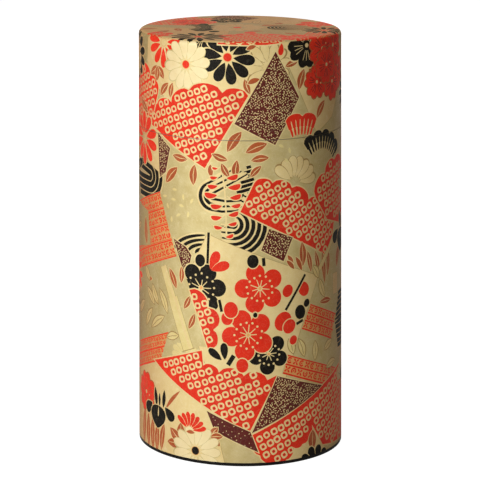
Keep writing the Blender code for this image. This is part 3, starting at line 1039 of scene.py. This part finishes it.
def ink_finishes():
    """The finish of each ink, from its colour, its blotches and, with pearl in it, the painted edge shade
    that it deepens to at its turning edges.
    """
    # Painted shade: the fourth colour of each pearly ink, the amber among them, is the darker, warmer colour
    # it takes where it is seen from the side, partly its pearl's own shift of colour.
    amber_edge_shade = (176, 118, 66)
    # Columns: ink, colour, blotch colour, painted edge shade colour, roughness, metallic, fleck.
    pearly = (
        (GOLD, (222, 206, 150), (204, 184, 122), (140, 98, 38), 0.40, 0.35, 0.2),
        (CREAM, (238, 217, 157), (228, 203, 139), amber_edge_shade, 0.5, 0.1, 0.2),
        (IVORY, (244, 228, 178), (236, 216, 162), amber_edge_shade, 0.5, 0.1, 0.2),
        (STRAW, (238, 222, 156), (226, 206, 134), amber_edge_shade, 0.45, 0.2, 0.2),
        (TAN, (240, 184, 112), (224, 158, 88), (170, 100, 50), 0.45, 0.3, 0.1),
        (OLIVE, (184, 150, 92), (164, 132, 78), (130, 92, 48), 0.45, 0.3, 0.1),
    )
    finishes = {ink: washi_finish(ink, *look) for ink, *look in pearly}
    finishes[RED] = washi_finish(RED, (232, 50, 22), (216, 40, 18), fleck=0.06)
    finishes[RUST] = washi_finish(RUST, (184, 92, 48), (158, 72, 36), fleck=0.08)
    finishes[MAROON] = washi_finish(MAROON, (100, 36, 30), (82, 26, 24), fleck=0.05)
    finishes[BLACK] = washi_finish(BLACK, (18, 15, 10), (26, 22, 17), fleck=0.03, gloss=0.12)
    return finishes


# ---------------------------------------------------------------- tin, paper and the inner lid


WALL_SEGMENTS = 192
EASE = 0.05  # clearance between sheets that lie against each other
NECK_GROOVES = (142.0, 129.0)  # heights of the rolled grooves that grip the lid


def eased(section, radius, closed=True):
    """The section with each corner rounded over."""
    corners = [complex(*point) for point in section]
    path = []
    for i, here in enumerate(corners):
        if not closed and i in (0, len(corners) - 1):
            path.append(here)
            continue
        before, after = corners[i - 1], corners[(i + 1) % len(corners)]
        cut = min(radius, abs(before - here) * 0.45, abs(after - here) * 0.45)
        start = here + (before - here) / abs(before - here) * cut
        end = here + (after - here) / abs(after - here) * cut
        path += [start, (start + 2 * here + end) / 4, end]
    return [(p.real, p.imag) for p in path]


def turned(name, section, finish, node, body, rounding=0.06, segments=WALL_SEGMENTS):
    """A piece turned about the caddy's axis from half its section, a list of radius and height."""
    on_axis = section[0][0] == 0
    profile = eased(section, rounding, not on_axis)
    edges = [(i, i + 1) for i in range(len(profile) - 1)]
    if not on_axis:
        edges.append((len(profile) - 1, 0))
    mesh = bpy.data.meshes.new(name)
    mesh.from_pydata([(r * MM, 0, z * MM) for r, z in profile], edges, [])
    piece = add_piece(name, mesh, finish, body, node)
    screw = piece.modifiers.new("turn", "SCREW")
    screw.steps = segments
    screw.render_steps = segments
    screw.use_merge_vertices = True
    screw.merge_threshold = 0.000001
    screw.use_smooth_shade = True
    piece.modifiers.new("normals", "WEIGHTED_NORMAL")


def swept_sheet(name, section, finish, node, body):
    """A paper wall: a closed section carried round the axis from the sheet's start to its lapped end."""
    steps = round((SHEET_END - SHEET_START) / STRIP)
    turns = np.linspace(SHEET_START, SHEET_END, steps + 1)
    points = []
    for turn, lift in zip(turns, lap_lift(turns)):
        for r, z in section:
            points.append(((r + lift) * math.sin(turn) * MM, -(r + lift) * math.cos(turn) * MM, z * MM))
    n = len(section)
    faces = []
    for i in range(steps):
        for k in range(n):
            a, b = i * n + k, i * n + (k + 1) % n
            faces.append((a, a + n, b + n, b))
    faces += [tuple(range(n)), tuple(range(steps * n, steps * n + n))[::-1]]
    mesh = bpy.data.meshes.new(name)
    mesh.from_pydata(points, [], faces)
    mesh.shade_smooth()
    mesh.set_sharp_from_angle(angle=math.radians(35))
    add_piece(name, mesh, finish, body, node)


def shoulder_arc(radius, start, end, steps=SHOULDER_STEPS):
    """Points of the shoulder's rounding, from start to end radians above level."""
    centre = (RADIUS - SHOULDER, SPRING_LINE)
    angles = [start + (end - start) * i / steps for i in range(steps + 1)]
    return [(centre[0] + radius * math.cos(a), centre[1] + radius * math.sin(a)) for a in angles]


def tube(outer, inner, top, bottom):
    """The section of a plain tube."""
    return [(outer, top), (outer, bottom), (inner, bottom), (inner, top)]


def paper_cores(finish):
    """The three sheets of paper that the ink lies on."""
    inner = RADIUS - PAPER
    body_section = tube(RADIUS, inner, BODY_TOP, PAPER_LOW)
    swept_sheet("body_paper_core", body_section[::-1], finish, "body_paper", "caddy_body")
    side = shoulder_arc(SHOULDER, JOINT_ANGLE, 0) + [(RADIUS, LID_LOW), (inner, LID_LOW)]
    side += shoulder_arc(SHOULDER - PAPER, 0, JOINT_ANGLE)
    swept_sheet("lid_side_paper_core", side[::-1], finish, "lid_side_paper", "lid")
    upright = math.pi / 2
    edge = JOINT_ANGLE + 0.03  # a hair's breadth from the side paper
    top = [(0, HEIGHT)] + shoulder_arc(SHOULDER, upright, edge)
    top += shoulder_arc(SHOULDER - PAPER, edge, upright) + [(0, HEIGHT - PAPER)]
    turned("lid_top_paper_core", top, finish, "lid_top_paper", "lid", rounding=0.02)


def body_tins(tin, lacquer):
    """The body's wall, the sleeve inside it that rises as the neck, and the foot."""
    wall = tube(TUBE_RADIUS, TUBE_RADIUS - TIN, BODY_TOP, TUBE_LOW)
    turned("body_wall", wall, tin, "body_tube", "caddy_body")

    inner = NECK_RADIUS - TIN
    groove = NECK_RADIUS - 0.14
    neck = [(NECK_RADIUS, NECK_TOP)]
    for height in NECK_GROOVES:
        neck += [(NECK_RADIUS, height + 1.1), (groove, height + 0.5)]
        neck += [(groove, height - 0.5), (NECK_RADIUS, height - 1.1)]
    neck += [(NECK_RADIUS, TUBE_LOW), (inner, TUBE_LOW), (inner, NECK_TOP)]
    turned("neck_sleeve", neck, tin, "inner_sleeve", "caddy_body", rounding=0.14)

    # The foot: a rim under the paper, a channel for the walls, and a panel with a step and a dimple.
    rim_top = PAPER_LOW - EASE
    channel = 0.3
    well = inner - EASE
    panel, panel_edge = 29.0, 29.8
    step = 0.8
    dimple, dimple_edge = 11.4, 12.0
    top = top_of("bottom_plate")
    under = top - TIN
    foot = [
        (0, top), (panel, top), (panel_edge, top - step), (well, top - step), (well, channel),
        (RADIUS - PAPER, channel), (RADIUS - PAPER, rim_top), (RADIUS, rim_top), (RADIUS, 0),
        (well - TIN, 0), (well - TIN, under - step), (panel_edge, under - step), (panel, under),
        (dimple_edge, under), (dimple, under - 0.35), (0, under - 0.35),
    ]
    turned("foot_plate", foot, lacquer, "bottom_plate", "caddy_body", rounding=0.12)


def lid_tins(tin):
    """The lid's top plate and the wall below it."""
    skirt_foot = bottom_of("lid_top_plate")
    inner = TUBE_RADIUS - TIN
    plate_outside = SHOULDER - PAPER - EASE
    top = HEIGHT - PAPER - EASE
    coin, coin_edge = 23.4, 24.0  # the panel pressed down inside the lid
    plate = [(0, top)] + shoulder_arc(plate_outside, math.pi / 2, 0)
    plate += [(TUBE_RADIUS, skirt_foot), (inner, skirt_foot)]
    plate += shoulder_arc(plate_outside - TIN, 0, math.pi / 2)
    plate += [(coin_edge, top - TIN), (coin, top - TIN - 0.3), (0, top - TIN - 0.3)]
    turned("lid_plate", plate, tin, "lid_top_plate", "lid")

    # The wall is drawn in at its top, where the plate's skirt goes round it.
    drawn_in = inner - EASE
    shoulder = skirt_foot - EASE
    slope_foot = shoulder - 3.0
    lid_wall = [
        (drawn_in, SPRING_LINE), (drawn_in, shoulder), (TUBE_RADIUS, slope_foot), (TUBE_RADIUS, LID_LOW),
        (inner, LID_LOW), (inner, slope_foot), (drawn_in - TIN, shoulder), (drawn_in - TIN, SPRING_LINE),
    ]
    turned("lid_wall", lid_wall, tin, "lid_tube", "lid")


def inner_lid_cap(tin, hole):
    """The inner lid's sheet: a skirt inside the neck, a flange over its rim, and a panel with a sunk ring."""
    flange = radius_of("inner_lid_cap")
    low, panel = bottom_of("inner_lid_cap"), top_of("inner_lid_cap")
    skirt = NECK_RADIUS - TIN - 0.1
    flange_low = NECK_TOP + 0.15
    flange_top = flange_low + TIN
    well = skirt - 2 * TIN
    ring = [(hole, 0), (9.0, 0), (9.6, 0.35), (22.0, 0.35), (22.6, 0), (well - 1.2, 0)]
    cap = [(r, panel - depth) for r, depth in ring]
    cap += [(well, flange_top), (flange, flange_top), (flange, flange_low), (skirt, flange_low)]
    cap += [(skirt, low), (skirt - TIN, low), (skirt - TIN, flange_top - TIN), (well, flange_top - TIN)]
    cap += [(r, panel - TIN - depth) for r, depth in reversed(ring)]
    turned("inner_lid_disc", cap, tin, "inner_lid_cap", "inner_lid", rounding=0.1)


def knob(metal):
    """A domed grip, two fine beads, a waist and a foot, with a blind hole for the rivet."""
    grip, low, top = radius_of("inner_lid_knob"), bottom_of("inner_lid_knob"), top_of("inner_lid_knob")
    tall = top - low
    dome = 0.32 * tall
    profile = [(0, top)]
    for angle in np.linspace(0, 1.5, 10)[1:]:
        profile.append((0.98 * grip * math.sin(angle), top - dome + dome * math.cos(angle)))
    for across, up in (
        (1, 0.62), (0.93, 0.56), (0.58, 0.47), (0.50, 0.38), (0.50, 0.22), (0.60, 0.19), (0.60, 0.14),
        (0.80, 0.09), (0.80, 0),
    ):
        profile.append((grip * across, low + tall * up))
    bore, bore_depth = 1.3, 5.1
    profile += [(bore, low), (bore, low + bore_depth), (0, low + bore_depth)]
    turned("lifting_knob", profile, metal, "inner_lid_knob", "inner_lid", 0.22, segments=96)


def inner_lid(tin, metal):
    """The inner lid, with its knob and the washer and rivet that hold it."""
    hole = 1.2
    inner_lid_cap(tin, hole)
    knob(metal)

    low, top = bottom_of("inner_lid_washer"), top_of("inner_lid_washer")
    washer = tube(radius_of("inner_lid_washer"), hole, top, low)
    turned("knob_washer", washer, tin, "inner_lid_washer", "inner_lid", segments=64)

    shank = 1.1
    head = radius_of("inner_lid_rivet")
    head_top = low - EASE
    depth = head_top - bottom_of("inner_lid_rivet")
    rivet = [(0, top_of("inner_lid_rivet")), (shank, top_of("inner_lid_rivet")), (shank, head_top)]
    rivet.append((head, head_top))
    rivet += [(head * math.cos(a), head_top - depth * math.sin(a)) for a in np.linspace(0.1, 1.4, 6)]
    rivet.append((0, head_top - depth))
    turned("knob_rivet", rivet, tin, "inner_lid_rivet", "inner_lid", segments=48)


# ---------------------------------------------------------------- stage, light and camera


# The camera looks almost level, past the caddy. The lens shift brings the caddy back into the picture.
CAMERA_PLACE = (0, -0.9219, 0.2855)  # in metres
CAMERA_TURN = math.radians(2.841)
CAMERA_TILT = math.radians(90 - 1.568)
CAMERA_ROLL = -0.0022
FOCAL_LENGTH = 175.15  # in mm, on a sensor 36 mm wide
SHIFT_ACROSS = 0.2422
SHIFT_UP = -0.9589


def floor():
    """A white floor that keeps a trace of the caddy's contact shadow."""
    bpy.ops.mesh.primitive_plane_add(size=12, location=(0, 0, -0.00005))
    plane = bpy.context.object
    plane.name = "studio_floor"
    n = Nodes("floor_white")
    glow = n.add("ShaderNodeEmission", Color=(1, 1, 1, 1), Strength=0.965)
    matt = n.add("ShaderNodeBsdfDiffuse", Color=(0.25, 0.25, 0.25, 1))
    bounce = n.add("ShaderNodeBsdfDiffuse", Color=(0.6, 0.6, 0.6, 1))
    seen = n.add("ShaderNodeAddShader", n0=glow, n1=matt)
    camera_ray = n.add("ShaderNodeLightPath", "Is Camera Ray")
    chosen = n.add("ShaderNodeMixShader", n0=camera_ray, n1=bounce, n2=seen)
    n.join(n.tree.nodes["Material Output"].inputs["Surface"], chosen)
    plane.data.materials.append(n.material)


def surroundings():
    """A dim, warm studio that the camera itself sees as plain white."""
    world = bpy.data.worlds.new("studio")
    bpy.context.scene.world = world
    world.use_nodes = True
    tree = world.node_tree
    seen = tree.nodes["Background"]
    dim = tree.nodes.new("ShaderNodeBackground")
    dim.inputs["Color"].default_value = (1.0, 0.86, 0.62, 1)
    dim.inputs["Strength"].default_value = 0.17
    seen.inputs["Color"].default_value = (1, 1, 1, 1)
    path = tree.nodes.new("ShaderNodeLightPath")
    chosen = tree.nodes.new("ShaderNodeMixShader")
    tree.links.new(path.outputs["Is Camera Ray"], chosen.inputs[0])
    tree.links.new(dim.outputs[0], chosen.inputs[1])
    tree.links.new(seen.outputs[0], chosen.inputs[2])
    tree.links.new(chosen.outputs[0], tree.nodes["World Output"].inputs["Surface"])


def softbox(name, place, width, height, power, colour=(1, 1, 1)):
    lamp = bpy.data.lights.new(name, "AREA")
    lamp.shape = "RECTANGLE"
    lamp.size, lamp.size_y = width, height
    lamp.energy = power
    lamp.color = colour
    obj = bpy.data.objects.new(name, lamp)
    obj.location = place
    aim = Vector((0, 0, HEIGHT * MM / 2)) - obj.location
    obj.rotation_euler = aim.to_track_quat("-Z", "Y").to_euler()
    bpy.context.scene.collection.objects.link(obj)
    return obj


def lights():
    """One softbox left of the camera, so that the right side falls into shade, and weaker ones behind and
    above. A low warm one behind the caddy only shines in the lid's top, as a haze."""
    softbox("key_softbox", (-0.76, -1.02, 0.50), 0.5, 0.6, 15.0)
    softbox("back_softbox", (0.15, 1.1, 0.50), 0.7, 0.7, 6).visible_glossy = False
    softbox("top_softbox", (0, 0.2, 1.2), 0.6, 0.6, 2.5).visible_glossy = False
    softbox("haze_softbox", (0.0, 1.2, 0.42), 1.4, 0.5, 2.0, (1.0, 0.80, 0.52)).visible_diffuse = False


def shift_at_home(camera, home, path, amount):
    """Shifts the lens only while the camera stands at its home, so that other views stay centred."""
    driver = camera.data.driver_add(path).driver
    moved = driver.variables.new()
    moved.name = "moved"
    moved.type = "LOC_DIFF"
    moved.targets[0].id = camera
    moved.targets[1].id = home
    driver.expression = f"{amount} if moved < 0.001 else 0.0"


def camera():
    """A long lens, a little above the lid, with a lens shift that keeps the caddy's sides upright."""
    lens = bpy.data.cameras.new("camera")
    lens.sensor_width = 36
    lens.lens = FOCAL_LENGTH
    cam = bpy.data.objects.new("camera", lens)
    turn = Matrix.Rotation(CAMERA_TURN, 4, "Z")
    tilt = Matrix.Rotation(CAMERA_TILT, 4, "X")
    roll = Matrix.Rotation(CAMERA_ROLL, 4, "Z")
    cam.matrix_world = Matrix.Translation(CAMERA_PLACE) @ turn @ tilt @ roll
    home = bpy.data.objects.new("camera_home", None)
    home.location = CAMERA_PLACE
    for obj in (cam, home):
        bpy.context.scene.collection.objects.link(obj)
    shift_at_home(cam, home, "shift_x", SHIFT_ACROSS)
    shift_at_home(cam, home, "shift_y", SHIFT_UP)
    bpy.context.scene.camera = cam


def main():
    inks = ink_finishes()
    side_cut = overlay(draw_side(), side_guides())
    lay_films("body_print", "caddy_body", side_surface, side_cut, PAPER_LOW, BODY_TOP, inks)
    lay_films("lid_side_print", "lid", side_surface, side_cut, LID_LOW, SHEET_TOP, inks)
    top_cut = overlay(draw_top(), top_guides())
    lay_films("lid_top_print", "lid", top_surface, top_cut, -RADIUS, RADIUS, inks)

    tin = tin_finish("tinplate", srgb(222, 220, 214), srgb(194, 191, 184), 0.30)
    paper_cores(paper_finish())
    body_tins(tin, lacquer_finish())
    lid_tins(tin)
    inner_lid(tin, tin_finish("knob_metal", srgb(222, 196, 138), srgb(200, 170, 108), 0.18, 0.004))

    floor()
    surroundings()
    lights()
    camera()
    bpy.context.scene.view_settings.view_transform = "Standard"


main()
